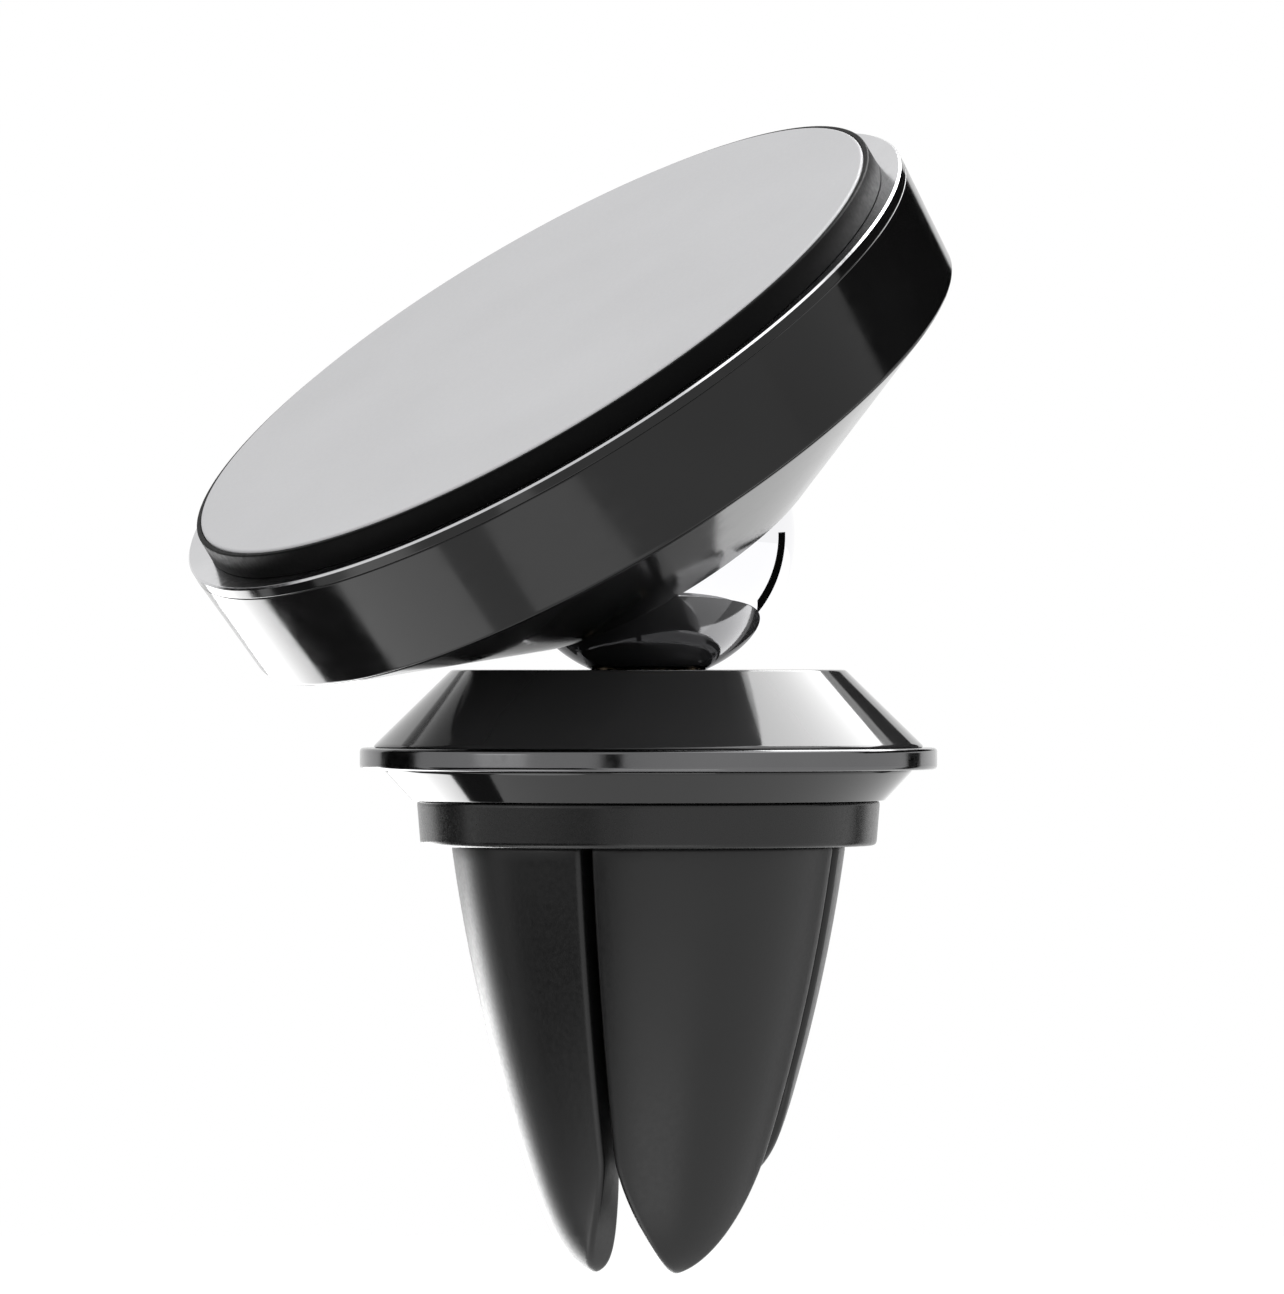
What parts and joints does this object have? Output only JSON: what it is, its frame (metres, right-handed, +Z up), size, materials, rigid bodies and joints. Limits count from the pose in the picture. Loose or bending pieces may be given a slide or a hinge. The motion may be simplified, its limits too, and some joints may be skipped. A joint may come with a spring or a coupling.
{
  "type": "magnetic car vent phone mount",
  "caption": "Round magnetic phone holder on a polished ball joint, with a double-cone base and a rubber finger clip that grips a car vent louvre.",
  "frame": {"origin": "on the clip's axis at the underside of its collar, where a louvre blade stops", "axes": "+Z up the base's axis from the clip to the ball, -Y towards the side that the face looks at, +X to the right seen from there"},
  "size_m": [0.0391, 0.0415, 0.0589],
  "materials": {
    "black_gloss": "gloss",
    "black_metal": "gloss",
    "chrome": "mirror",
    "black_chrome": "polished",
    "bright_bezel": "polished",
    "rim_rubber": "satin",
    "face_silicone": "satin",
    "clip_rubber": "satin",
    "collar_rubber": "satin",
    "black_plastic": "matte",
    "brass": "machined",
    "steel": "machined",
    "magnet_nickel": "nickel plated",
    "plate_aluminium": "satin",
    "adhesive": "film"
  },
  "bodies": {
    "base": {"upper_housing": "black_gloss", "flange_ring": "black_chrome", "lower_housing": "black_gloss", "clip_collar": "collar_rubber", "clip_hub": "black_plastic", "swivel_bushing": "brass", "disc_spring": "steel", "clip_screws": "steel"},
    "ball": {"pivot_ball": "chrome", "ball_stud": "steel", "stud_nut": "steel"},
    "socket": {"socket_cup": "black_plastic"},
    "head": {"back_cover": "black_metal", "head_shell": "black_metal", "bezel_ring": "bright_bezel", "rim_ring": "rim_rubber", "face_pad": "face_silicone", "pad_adhesive": "adhesive", "front_plate": "plate_aluminium", "magnet_carrier": "black_plastic", "magnets": "magnet_nickel", "steel_yoke": "steel", "retainer_ring": "black_plastic", "head_screws": "steel"},
    "finger_1": {"finger_core_1": "black_plastic", "finger_sleeve_1": "clip_rubber"},
    "finger_2": {"finger_core_2": "black_plastic", "finger_sleeve_2": "clip_rubber"},
    "finger_3": {"finger_core_3": "black_plastic", "finger_sleeve_3": "clip_rubber"},
    "finger_4": {"finger_core_4": "black_plastic", "finger_sleeve_4": "clip_rubber"}
  },
  "joints": [
    {"name": "ball_turn", "type": "hinge", "parent": "base", "child": "ball", "pos_m": [0, 0, 0.0159], "axis": [0, 0, 1], "continuous": true},
    {"name": "head_tilt", "type": "hinge", "parent": "ball", "child": "socket", "pos_m": [0, 0, 0.0159], "axis": [0.4848, -0.8746, 0], "range_deg": [-71, 2]},
    {"name": "head_spin", "type": "hinge", "parent": "socket", "child": "head", "pos_m": [0, 0, 0.0159], "axis": [-0.4954, -0.2746, 0.8241], "continuous": true},
    {"name": "finger_1_flex", "type": "hinge", "parent": "base", "child": "finger_1", "pos_m": [0.00395, -0.00792, 0.0013], "axis": [-0.8949, -0.4462, 0], "range_deg": [0, 5], "stiffness_Nm_per_rad": 0.2, "springref_deg": -0.57},
    {"name": "finger_2_flex", "type": "hinge", "parent": "base", "child": "finger_2", "pos_m": [0.00792, 0.00395, 0.0013], "axis": [0.4462, -0.8949, 0], "range_deg": [0, 5], "stiffness_Nm_per_rad": 0.2, "springref_deg": -0.57},
    {"name": "finger_3_flex", "type": "hinge", "parent": "base", "child": "finger_3", "pos_m": [-0.00395, 0.00792, 0.0013], "axis": [0.8949, 0.4462, 0], "range_deg": [0, 5], "stiffness_Nm_per_rad": 0.2, "springref_deg": -0.57},
    {"name": "finger_4_flex", "type": "hinge", "parent": "base", "child": "finger_4", "pos_m": [-0.00792, -0.00395, 0.0013], "axis": [-0.4462, 0.8949, 0], "range_deg": [0, 5], "stiffness_Nm_per_rad": 0.2, "springref_deg": -0.57}
  ]
}
